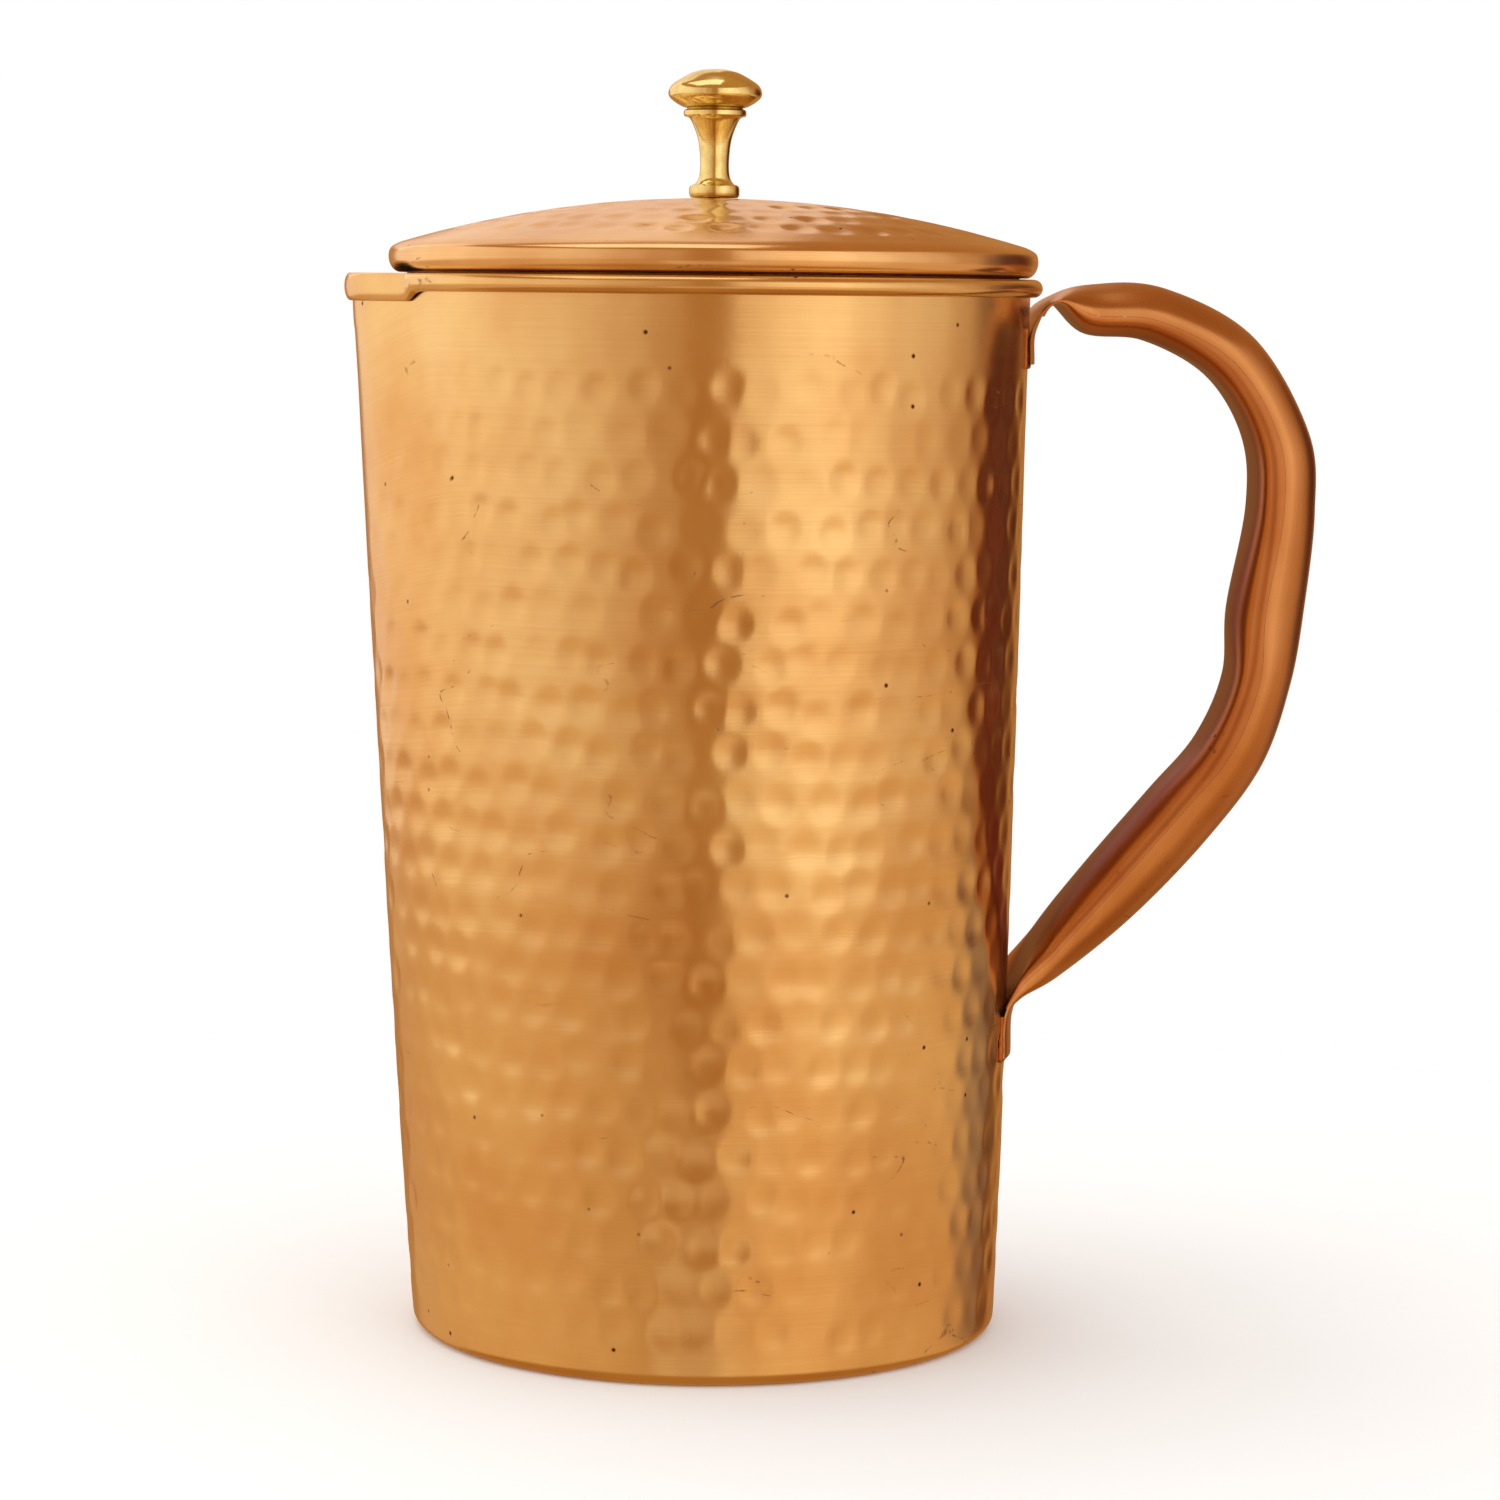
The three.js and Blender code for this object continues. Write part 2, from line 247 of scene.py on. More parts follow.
    tone = add_node(tree, "ShaderNodeMapRange", {"Value": clouds, "From Min": 0.35, "From Max": 0.7})
    lined = add_node(
        tree,
        "ShaderNodeMapRange",
        {"Value": lines, "From Min": 0.3, "From Max": 0.7, "To Min": -0.09, "To Max": 0.09},
    )
    tone = add_node(tree, "ShaderNodeMath", {0: tone, 1: lined}, operation="ADD", use_clamp=True)
    tint = add_node(
        tree,
        "ShaderNodeMix",
        {"Factor": tone, 6: linear(bright), 7: linear(deep)},
        data_type="RGBA",
    ).outputs[2]
    tint = add_node(
        tree, "ShaderNodeMix", {"Factor": marks, 6: tint, 7: linear("#4A240F")}, data_type="RGBA"
    ).outputs[2]
    tree.links.new(tint, shader.inputs["Base Color"])
    shader.inputs["Metallic"].default_value = 1
    gloss = add_node(
        tree,
        "ShaderNodeMapRange",
        {
            "Value": lines,
            "From Min": 0.3,
            "From Max": 0.7,
            "To Min": roughness - 0.02,
            "To Max": roughness + 0.03,
        },
    )
    gloss = add_node(tree, "ShaderNodeMath", {0: marks, 1: 0.3, 2: gloss}, operation="MULTIPLY_ADD")
    tree.links.new(gloss.outputs[0], shader.inputs["Roughness"])
    shader.inputs["Anisotropic"].default_value = stretch
    shader.inputs["Anisotropic Rotation"].default_value = 0.25

    # Relief: scour lines, the sheet's fine unevenness, and the marks, which are cut in.
    relief = add_node(tree, "ShaderNodeMath", {0: lines, 1: line_relief}, operation="MULTIPLY")
    for pattern, size in ((grit, grain_relief), (marks, mark_relief)):
        relief = add_node(
            tree, "ShaderNodeMath", {0: pattern, 1: size, 2: relief}, operation="MULTIPLY_ADD"
        )
    bump = add_node(tree, "ShaderNodeBump", {"Strength": 1, "Distance": MM, "Height": relief})
    tree.links.new(bump.outputs[0], shader.inputs["Normal"])
    return material


def hammer(piece, finish, aim, sizes):
    """Sinks a spiral of round dents through both skins of a sheet, and gives it its finish.
    aim adds the nodes that say where each blow starts, which way it goes and if it is left
    out; where it lands, the sheet goes in against the face it hits."""
    tree = bpy.data.node_groups.new(piece.name, "GeometryNodeTree")
    tree.interface.new_socket("Geometry", in_out="INPUT", socket_type="NodeSocketGeometry")
    tree.interface.new_socket("Geometry", in_out="OUTPUT", socket_type="NodeSocketGeometry")
    modifier = piece.modifiers.new("hammering", "NODES")
    keys = {}
    for name, size in sizes.items():
        kind = "NodeSocketInt" if isinstance(size, int) else "NodeSocketFloat"
        keys[name] = tree.interface.new_socket(name, in_out="INPUT", socket_type=kind).identifier
    modifier.node_group = tree
    for name, size in sizes.items():
        modifier[keys[name]] = size
    given = add_node(tree, "NodeGroupInput").outputs
    step = add_node(tree, "GeometryNodeInputIndex")
    seeds = [
        add_node(tree, "ShaderNodeMath", {0: given["Seed"], 1: extra}, operation="ADD") for extra in range(3)
    ]
    chance = [
        add_node(tree, "FunctionNodeRandomValue", {2: -1, 3: 1, "Seed": seed}) for seed in seeds
    ]
    start, heading, left_out = aim(tree, given, step, chance)
    landing = add_node(
        tree,
        "GeometryNodeRaycast",
        {
            "Target Geometry": given["Geometry"],
            "Source Position": start,
            "Ray Direction": heading,
            "Ray Length": 1.0,
        },
    ).outputs
    blows = add_node(tree, "GeometryNodePoints", {"Count": given["Blows"]})
    blows = add_node(
        tree,
        "GeometryNodeStoreNamedAttribute",
        {"Geometry": blows, "Name": "face", "Value": landing["Hit Normal"]},
        data_type="FLOAT_VECTOR",
    )
    blows = add_node(
        tree, "GeometryNodeSetPosition", {"Geometry": blows, "Position": landing["Hit Position"]}
    )
    missed = add_node(tree, "FunctionNodeBooleanMath", {0: landing["Is Hit"]}, operation="NOT")
    missed = add_node(tree, "FunctionNodeBooleanMath", {0: missed, 1: left_out}, operation="OR")
    blows = add_node(tree, "GeometryNodeDeleteGeometry", {"Geometry": blows, "Selection": missed})

    nearest = add_node(tree, "GeometryNodeSampleNearest", {"Geometry": blows}, domain="POINT")
    here = add_node(tree, "GeometryNodeInputPosition")
    attribute = add_node(tree, "GeometryNodeInputNamedAttribute", {"Name": "face"}, data_type="FLOAT_VECTOR")
    centre, face, force = [
        add_node(
            tree,
            "GeometryNodeSampleIndex",
            {"Geometry": blows, "Value": value, "Index": nearest},
            data_type=kind,
        )
        for value, kind in ((here, "FLOAT_VECTOR"), (attribute, "FLOAT_VECTOR"), (chance[2], "FLOAT"))
    ]
    away = add_node(tree, "ShaderNodeVectorMath", {0: here, 1: centre}, operation="SUBTRACT")
    through = add_node(tree, "ShaderNodeVectorMath", {0: away, 1: face}, operation="PROJECT")
    away = add_node(tree, "ShaderNodeVectorMath", {0: away, 1: through}, operation="SUBTRACT")
    away = add_node(tree, "ShaderNodeVectorMath", {0: away}, operation="LENGTH")
    share = add_node(tree, "ShaderNodeMath", {0: away, 1: given["Dent radius"]}, operation="DIVIDE")
    share = add_node(tree, "ShaderNodeMath", {0: share, 1: share}, operation="MULTIPLY", use_clamp=True)
    share = add_node(tree, "ShaderNodeMath", {0: 1.0, 1: share}, operation="SUBTRACT")
    share = add_node(tree, "ShaderNodeMath", {0: share, 1: given["Rim softness"]}, operation="POWER")
    force = add_node(
        tree, "ShaderNodeMath", {0: force, 1: given["Unevenness"], 2: 1.0}, operation="MULTIPLY_ADD"
    )
    depth = add_node(tree, "ShaderNodeMath", {0: share, 1: force}, operation="MULTIPLY")
    depth = add_node(tree, "ShaderNodeMath", {0: depth, 1: given["Dent depth"]}, operation="MULTIPLY")
    swell_size = 26 * MM
    swell = add_node(tree, "ShaderNodeTexNoise", {"Scale": 1 / swell_size, "Detail": 1.0})
    height = add_node(tree, "ShaderNodeSeparateXYZ", {0: here})
    fade = add_node(
        tree,
        "ShaderNodeMapRange",
        {
            "Value": height.outputs[2],
            "From Min": given["Swell top"],
            "From Max": given["Plain top"],
            "To Min": 1,
            "To Max": 0,
        },
    )
    swell = add_node(
        tree, "ShaderNodeMath", {0: swell.outputs[0], 1: given["Swell depth"]}, operation="MULTIPLY"
    )
    depth = add_node(tree, "ShaderNodeMath", {0: swell, 1: fade, 2: depth}, operation="MULTIPLY_ADD")
    inward = add_node(tree, "ShaderNodeMath", {0: depth, 1: -1}, operation="MULTIPLY")
    offset = add_node(tree, "ShaderNodeVectorMath", {0: face, "Scale": inward}, operation="SCALE")
    made = add_node(tree, "GeometryNodeSetPosition", {"Geometry": given["Geometry"], "Offset": offset})
    made = add_node(tree, "GeometryNodeRealizeInstances", {"Geometry": made})
    made = add_node(tree, "GeometryNodeSetMaterial", {"Geometry": made, "Material": finish})
    add_node(tree, "NodeGroupOutput", {"Geometry": made})
    bpy.context.view_layer.update()
    evaluated = piece.evaluated_get(bpy.context.evaluated_depsgraph_get())
    mesh = bpy.data.meshes.new_from_object(evaluated)
    piece.modifiers.remove(modifier)
    piece.data = mesh


def aim_at_wall(tree, given, step, chance):
    """Blows in a falling helix, each level and straight at the axis, none on the beak's V."""
    run_up = 120 * MM
    turns = add_node(tree, "ShaderNodeMath", {0: step, 1: given["Blows per turn"]}, operation="DIVIDE")
    angle = add_node(tree, "ShaderNodeMath", {0: turns, 1: 2 * math.pi}, operation="MULTIPLY")
    angle = add_node(
        tree, "ShaderNodeMath", {0: chance[0], 1: given["Stray angle"], 2: angle}, operation="MULTIPLY_ADD"
    )
    drop = add_node(tree, "ShaderNodeMath", {0: turns, 1: given["Row pitch"]}, operation="MULTIPLY")
    height = add_node(tree, "ShaderNodeMath", {0: given["First row"], 1: drop}, operation="SUBTRACT")
    height = add_node(
        tree, "ShaderNodeMath", {0: chance[1], 1: given["Stray height"], 2: height}, operation="MULTIPLY_ADD"
    )
    x = add_node(tree, "ShaderNodeMath", {0: angle}, operation="COSINE")
    y = add_node(tree, "ShaderNodeMath", {0: angle}, operation="SINE")
    outwards = add_node(tree, "ShaderNodeCombineXYZ", {0: x, 1: y})
    heading = add_node(tree, "ShaderNodeVectorMath", {0: outwards, "Scale": -1}, operation="SCALE")
    start = add_node(tree, "ShaderNodeVectorMath", {0: outwards, "Scale": run_up}, operation="SCALE")
    level = add_node(tree, "ShaderNodeCombineXYZ", {2: height})
    start = add_node(tree, "ShaderNodeVectorMath", {0: start, 1: level}, operation="ADD")
    behind = add_node(tree, "ShaderNodeMath", {0: x, 1: -1}, operation="MULTIPLY")
    from_beak = add_node(tree, "ShaderNodeMath", {0: behind}, operation="ARCCOSINE")
    smooth_half = add_node(
        tree,
        "ShaderNodeMapRange",
        {
            "Value": height,
            "From Min": given["Beak foot"],
            "From Max": given["First row"],
            "To Min": 0,
            "To Max": given["Beak half angle"],
        },
    )
    left_out = add_node(tree, "ShaderNodeMath", {0: from_beak, 1: smooth_half}, operation="LESS_THAN")
    return start, heading, left_out


around = 384
row_step = 1.2
bead = (bead_outer - bead_radius, body_height - bead_radius)
foot_centre = wall_radius(foot_corner) - foot_corner
wall_top = body_height - 3.6
wall_heights = np.linspace(foot_corner, wall_top, int(wall_top / row_step))[1:]
outside = (
    [(foot_lip_radius, 0), (foot_lip_radius + 2, 0)]
    + arc(foot_centre, foot_corner, foot_corner, -90, 0, 6)
    + [(wall_radius(z), z) for z in wall_heights]
    + arc(*bead, bead_radius - sheet, 238, -92, 6)
    + arc(*bead, bead_radius, -92, 220, 16)
)
inner_heights = np.linspace(body_height - 5, foot_corner, 92)
inside = (
    [(wall_radius(z) - sheet, z) for z in inner_heights]
    + arc(foot_centre, foot_corner, foot_corner - sheet, -15, -90, 3)
    + [(foot_lip_radius, sheet)]
)
rings = revolve(outside, around) + revolve(inside, around // 2)
body_wall = make_mesh("body_wall_hammered", *join_rings([draw_beak(r) for r in rings], True))

dent_radius, dent_depth = 3.6, 0.25
blows_per_turn, row_pitch = 50.5, 8.4
first_row, last_row = 192.5, 5.0
wall_copper = satin_copper("satin_hammered_copper", "#E9CF90", "#D9AF6E", 0.22, stretch=0.3)
hammer(
    body_wall,
    wall_copper,
    aim_at_wall,
    {
        "Blows": int(blows_per_turn * (first_row - last_row) / row_pitch),
        "Blows per turn": blows_per_turn,
        "Row pitch": row_pitch * MM,
        "First row": first_row * MM,
        "Stray angle": 0.028,
        "Stray height": 1.2 * MM,
        "Beak foot": 147 * MM,
        "Beak half angle": math.radians(beak_half_angle),
        "Dent radius": dent_radius * MM,
        "Dent depth": dent_depth * MM,
        "Rim softness": 1.2,
        "Unevenness": 0.5,
        "Swell depth": 0.25 * MM,
        "Swell top": 185 * MM,
        "Plain top": 202 * MM,
        "Seed": 7,
    },
)
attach(body_wall, "jug")
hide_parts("body_wall")


# ---- Base pan ----------------------------------------------------------------------------
# A disc of copper sheet sprung into the foot from inside and brazed there: its rim turns up
# against the wall, and its middle is set down level with the foot, so that the jug stands flat.

pan_gap = 0.3
pan_inset = sheet + pan_gap
joggle_radius = foot_lip_radius - pan_gap
shelf = sheet + pan_gap
flange_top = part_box("base_pan")[1].z / MM
corner = wall_radius(4) - pan_inset
pan_section = (
    [(0.01, 0), (joggle_radius * 0.4, 0), (joggle_radius * 0.8, 0), (joggle_radius - 0.2, 0)]
    + [(joggle_radius, 0.2), (joggle_radius, shelf), (corner - 1.8, shelf)]
    + arc(corner - 1.8, shelf + 1.8, 1.8, -90, 0, 5)
    + [(wall_radius(flange_top) - pan_inset, flange_top - 0.3)]
    + [(wall_radius(flange_top) - pan_inset - sheet / 2, flange_top)]
    + [(wall_radius(flange_top) - pan_inset - sheet, flange_top - 0.3)]
    + arc(corner - 1.8, shelf + 1.8, 1.8 - sheet, 0, -90, 4)
    + [(joggle_radius - sheet, shelf + sheet), (joggle_radius - sheet, sheet + 0.2)]
    + [(joggle_radius - sheet - 0.2, sheet), (joggle_radius * 0.5, sheet), (0.01, sheet)]
)
base_pan = make_mesh(
    "base_pan_disc",
    *join_rings([draw_beak(r) for r in revolve(pan_section, 192)], True),
)
pan_copper = satin_copper("scoured_pan_copper", "#E9B27C", "#CF8F58", 0.36, stretch=0.5)
base_pan.data.materials.append(pan_copper)
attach(base_pan, "jug")
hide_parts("base_pan")


# ---- Rim wire ----------------------------------------------------------------------------
# Drawn steel wire that the rim is rolled over. It is shut inside the bead, so the frame's own
# plain ring serves, in the dull, patchy grey of its zinc.

wire_steel = bpy.data.materials.new("galvanised_steel_wire")
wire_steel.use_nodes = True
wire_tree = wire_steel.node_tree
wire_shader = wire_tree.nodes["Principled BSDF"]
scale_pattern = add_node(wire_tree, "ShaderNodeTexCoord").outputs["Object"]
scale_pattern = add_node(wire_tree, "ShaderNodeTexNoise", {"Vector": scale_pattern, "Scale": 1 / (3 * MM)})
scale_tint = add_node(
    wire_tree,
    "ShaderNodeMix",
    {"Factor": scale_pattern, 6: linear("#7B7D80"), 7: linear("#565452")},
    data_type="RGBA",
)
wire_tree.links.new(scale_tint.outputs[2], wire_shader.inputs["Base Color"])
wire_shader.inputs["Metallic"].default_value = 1
wire_shader.inputs["Roughness"].default_value = 0.45
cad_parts["rim_wire"].data.materials.clear()
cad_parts["rim_wire"].data.materials.append(wire_steel)


# ---- Handle ------------------------------------------------------------------------------
# A hollow handle of two pressed copper shells, brazed edge to edge. The outer one runs on into
# a flat tab at each end; the inner one is pressed to a flat face.

shell, seam_gap, stand_off, seam_fraction = 0.7, 0.04, 0.3, 0.38
# From the end of the upper tab to the end of the lower one: the outer and the inner side in
# the XZ plane, the half width, and how square the section is, from 0 round to 1 pressed flat.
handle_sections = [
    ((61.9, 190.6), (63.1, 190.6), 14.5, 1),
    ((62.2, 197.2), (63.4, 197.2), 14.5, 1),
    ((66.0, 203.7), (66.6, 202.4), 14.5, 1),
    ((74.0, 206.2), (72.6, 196.6), 13.2, 0.4),
    ((88.0, 205.6), (84.4, 195.3), 12.5, 0.3),
    ((105.6, 196.4), (97.4, 188.4), 12.5, 0.7),
    ((117.0, 177.8), (104.9, 176.6), 12.5, 0.8),
    ((118.6, 162.2), (106.1, 162.8), 12.5, 0.8),
    ((117.0, 143.4), (102.2, 142.8), 12.5, 0.3),
    ((114.6, 128.2), (102.1, 129.2), 12.5, 0.8),
    ((109.3, 112.0), (96.8, 116.8), 12.5, 0.7),
    ((98.8, 97.2), (87.5, 106.4), 12.6, 0.2),
    ((85.0, 82.4), (74.8, 91.2), 13.2, 0.2),
    ((71.5, 71.2), (65.8, 78.7), 14.2, 0.5),
    ((62.7, 66.6), (61.3, 68.6), 15.5, 1),
    ((60.4, 63.0), (59.2, 63.0), 16, 1),
    ((60.2, 55.1), (59.0, 55.1), 16, 1),
]
handle_steps = 184
tab_steps = 16
tab_reach, tab_blend = 62.5, 5.5  # where the tabs lie flat on the wall, and leave it
round_power, square_power = 0.95, 0.4  # how full a section is when round or pressed flat
handle_table = np.array([[*outer, *inner, half, flat] for outer, inner, half, flat in handle_sections])


def handle_section(along):
    """The six numbers of the handle's section at a share of its length, on a smooth curve."""
    t = along * (len(handle_table) - 1)
    i = min(int(t), len(handle_table) - 2)
    t -= i
    b, c = handle_table[i], handle_table[i + 1]
    a = handle_table[i - 1] if i else 2 * b - c
    d = handle_table[i + 2] if i + 2 < len(handle_table) else 2 * c - b
    slope_b, slope_c = (c - a) / 2, (d - b) / 2
    bend = 3 * (c - b) - 2 * slope_b - slope_c
    return b + slope_b * t + bend * t**2 + (2 * (b - c) + slope_b + slope_c) * t**3


def handle_point(side, along, across, skin):
    """A point of a shell: side 1 outer or -1 inner, across 0 to 1 between its edges, and skin
    1 on its face or 0 inside. The flat tabs bend round the wall."""
    numbers = handle_section(along)
    outer, inner, half, square = numbers[:2], numbers[2:4], numbers[4], numbers[5]
    seam = inner + seam_fraction * (outer - inner)
    depth = np.linalg.norm(outer - inner)
    direction = (outer - inner) / depth
    depth *= 1 - seam_fraction if side > 0 else seam_fraction
    depth = depth if skin else max(depth - shell, 0)
    half = half if skin else half - shell
    tab = min(max((seam[0] - tab_reach) / tab_blend, 0), 1)
    tab = 1 - tab * tab * (3 - 2 * tab)
    flatness = min(max(tab if side > 0 else max(tab, square), 0), 1)
    power = round_power + (square_power - round_power) * flatness
    angle = math.pi * across
    y = half * math.copysign(abs(math.cos(angle)) ** power, math.cos(angle))
    rise = depth * math.sin(angle) ** power + seam_gap / 2 if 0 < across < 1 else seam_gap / 2
    x, z = seam + side * rise * direction
    bend = neck_radius - math.sqrt(neck_radius**2 - y * y)
    return x + stand_off - tab * bend, y, z


def handle_shell(name, side, steps_short):
    """A shell as a closed skin: rings of points round its face and back along the inside."""
    shares = np.linspace(0, 1, 37)
    shares = (1 - np.cos(np.pi * shares)) / 2 * 0.5 + shares * 0.5
    rings = []
    for step in range(steps_short, handle_steps + 1 - steps_short):
        along = step / handle_steps
        face = [handle_point(side, along, share, 1) for share in shares]
        back = [handle_point(side, along, share, 0) for share in shares[::-1]]
        rings.append(np.array(face + back))
    points, faces = join_rings(rings, False)
    count = len(shares)
    for ring in (0, len(rings) - 1):
        base = ring * 2 * count
        for i in range(count - 1):
            quad = [base + i, base + i + 1, base + 2 * count - 2 - i, base + 2 * count - 1 - i]
            faces.append(quad if ring else quad[::-1])
    return make_mesh(name, points, faces, crease=50)


handle_outer = handle_shell("handle_outer_pressing", 1, 0)
handle_inner = handle_shell("handle_inner_pressing", -1, tab_steps)
handle_copper = satin_copper(
    "polished_handle_copper", "#CB945C", "#B57840", 0.27, brushed="along", stretch=0.2, wear=0.7
)
inner_copper = satin_copper(
    "handle_copper_painted_shade", "#D0925A", "#B87440", 0.32, brushed="along", stretch=0.2, wear=0.7
)
# Painted shade: the middle of the inner pressing, its flat face turned to the jug, is darkened to red-brown;
# towards the seam edges it grades back to the polished copper.
painted_shade_tree = inner_copper.node_tree
shaded_base_colour = painted_shade_tree.nodes["Principled BSDF"].inputs["Base Color"]
side = add_node(painted_shade_tree, "ShaderNodeTexCoord").outputs["Object"]
side = add_node(painted_shade_tree, "ShaderNodeSeparateXYZ", {0: side}).outputs[1]
side = add_node(painted_shade_tree, "ShaderNodeMath", {0: side}, operation="ABSOLUTE")
side = add_node(
    painted_shade_tree, "ShaderNodeMapRange", {"Value": side, "From Min": 7.5 * MM, "From Max": 12.0 * MM}
)
# 742409 is the painted shade's dark red-brown, full within 7.5 mm of the handle's middle and gone by 12 mm.
stain_and_shade = add_node(
    painted_shade_tree,
    "ShaderNodeMix",
    {"Factor": side, 6: linear("#742409"), 7: shaded_base_colour.links[0].from_socket},
    data_type="RGBA",
)
painted_shade_tree.links.new(stain_and_shade.outputs[2], shaded_base_colour)
for piece, node, finish in (
    (handle_outer, "handle_outer_shell", handle_copper),
    (handle_inner, "handle_inner_shell", inner_copper),
):
    piece.data.materials.append(finish)
    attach(piece, "jug")
    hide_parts(node)


def braze_bead(name, low, high, half):
    """A lumpy fillet of filler metal round the three free sides of a tab on the wall."""
    bead_size, pace = 0.62, 0.45
    rng = np.random.default_rng(5)
    corners = [(-half, high), (-half, low), (half, low), (half, high)]
    path = []
    for (y0, z0), (y1, z1) in zip(corners, corners[1:]):
        count = int(math.hypot(y1 - y0, z1 - z0) / pace)
        path += [(y0 + (y1 - y0) * i / count, z0 + (z1 - z0) * i / count) for i in range(count)]
    path.append(corners[-1])
    lumps = rng.uniform(0.55, 1.25, len(path))
    lumps = (lumps + np.roll(lumps, 1) + np.roll(lumps, 2)) / 3
    sweep = np.linspace(0, 2 * np.pi, 9)[:-1]
    bead_rings = []
    for i, (y, z) in enumerate(path):
        ahead = np.subtract(path[min(i + 1, len(path) - 1)], path[max(i - 1, 0)])
        ahead = ahead / np.linalg.norm(ahead)
        beside = np.array([-ahead[1], ahead[0]])
        size = bead_size * lumps[i]
        ring = []
        for a in sweep:
            py, pz = np.array([y, z]) + beside * size * math.cos(a)
            px = math.sqrt(wall_radius(pz) ** 2 - py * py) + 0.1 + 0.8 * size * math.sin(a)
            ring.append((px, py, pz))
        bead_rings.append(np.array(ring))
    points, faces = join_rings(bead_rings, False)
    last = len(points) - len(sweep)
    faces.append(list(range(len(sweep)))[::-1])
    faces.append(list(range(last, len(points))))
    return make_mesh(name, points, faces, crease=60)


filler = satin_copper("copper_braze_filler", "#C07A42", "#5E2E14", 0.42, brushed="along", wear=1.6)
for name, low, high, half in (
    ("upper_tab_braze", 190.3, 197.5, 14.9),
    ("lower_tab_braze", 54.8, 63.5, 16.4),
):
    bead_piece = braze_bead(name, low, high, half)
    bead_piece.data.materials.append(filler)
    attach(bead_piece, "jug")


# ---- Lid ---------------------------------------------------------------------------------
# A shallow dome of hammered copper sheet with a rolled, hollow edge that rests on the jug's
# bead, and under it a plain collar, brazed on, that drops into the neck and centres the lid.

lid_gap = 0.3
lid_radius = (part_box("lid_dome")[1] / MM).x
lid_rest = body_height + lid_gap
lid_crown = 222.1
dome_radius = 210.0
shoulder = 60.8


def dome_height(r):
    return lid_crown - dome_radius + math.sqrt(dome_radius**2 - r * r)


def smooth_path(points, steps):
    """A finer, smoothly curved run of section points through a few given ones."""
    p = np.array(points, float)
    p = np.vstack([2 * p[0] - p[1], p, 2 * p[-1] - p[-2]])
    fine = []
    for i in range(1, len(p) - 2):
        for t in np.linspace(0, 1, steps, endpoint=False):
            a, b, c, d = p[i - 1 : i + 3]
            slope_b, slope_c = (c - a) / 2, (d - b) / 2
            bend = 3 * (c - b) - 2 * slope_b - slope_c
            fine.append(b + slope_b * t + bend * t**2 + (2 * (b - c) + slope_b + slope_c) * t**3)
    return [tuple(point) for point in fine] + [tuple(p[-2])]


hole_radius = 2.0
dome_radii = np.linspace(hole_radius, shoulder, 58)
dome_edge = [
    (shoulder, dome_height(shoulder)),
    (lid_radius - 1.2, dome_height(shoulder) - 0.6),
    (lid_radius - 0.3, lid_rest + 4.5),
    (lid_radius, lid_rest + 3.2),
    (lid_radius - 0.2, lid_rest + 1.8),
    (lid_radius - 0.9, lid_rest + 0.6),
    (lid_radius - 1.9, lid_rest),
    (lid_radius - 2.9, lid_rest),
]
dome_edge_inside = [
    (lid_radius - 2.9, lid_rest + sheet),
    (lid_radius - 1.8, lid_rest + sheet),
    (lid_radius - 1.0, lid_rest + 2.0),
    (lid_radius - sheet, lid_rest + 3.2),
    (lid_radius - 1.1, lid_rest + 4.1),
    (lid_radius - 1.8, dome_height(shoulder) - 1.3),
]
top_skin = [(r, dome_height(r)) for r in dome_radii[:-1]] + smooth_path(dome_edge, 4)
under_skin = smooth_path(dome_edge_inside, 2) + [
    (r, dome_height(r) - sheet) for r in np.linspace(shoulder, hole_radius, 40)
]
lid_rings = revolve(top_skin, 384) + revolve(under_skin, 192)
lid_dome = make_mesh("lid_hammered_dome", *join_rings(lid_rings, True))


def aim_at_lid(tree, given, step, chance):
    """Blows straight down, on a spiral of even pitch and even spacing from the knob out."""
    run = add_node(tree, "ShaderNodeMath", {0: step, 1: given["Blow spacing"]}, operation="MULTIPLY")
    run = add_node(tree, "ShaderNodeMath", {0: run, 1: 4 * math.pi}, operation="MULTIPLY")
    run = add_node(tree, "ShaderNodeMath", {0: run, 1: given["Row pitch"]}, operation="DIVIDE")
    angle = add_node(tree, "ShaderNodeMath", {0: run}, operation="SQRT")
    reach = add_node(tree, "ShaderNodeMath", {0: angle, 1: given["Row pitch"]}, operation="MULTIPLY")
    reach = add_node(tree, "ShaderNodeMath", {0: reach, 1: 2 * math.pi}, operation="DIVIDE")
    x = add_node(tree, "ShaderNodeMath", {0: angle}, operation="COSINE")
    y = add_node(tree, "ShaderNodeMath", {0: angle}, operation="SINE")
    place = add_node(tree, "ShaderNodeCombineXYZ", {0: x, 1: y})
    place = add_node(tree, "ShaderNodeVectorMath", {0: place, "Scale": reach}, operation="SCALE")
    stray = add_node(tree, "ShaderNodeCombineXYZ", {0: chance[0], 1: chance[1]})
    stray = add_node(tree, "ShaderNodeVectorMath", {0: stray, "Scale": given["Stray"]}, operation="SCALE")
    place = add_node(tree, "ShaderNodeVectorMath", {0: place, 1: stray}, operation="ADD")
    above = add_node(tree, "ShaderNodeVectorMath", {0: place, 1: (0, 0, 0.3)}, operation="ADD")
    down = add_node(tree, "ShaderNodeCombineXYZ", {2: -1})
    left_out = add_node(tree, "ShaderNodeMath", {0: reach, 1: given["First reach"]}, operation="LESS_THAN")
    return above, down, left_out


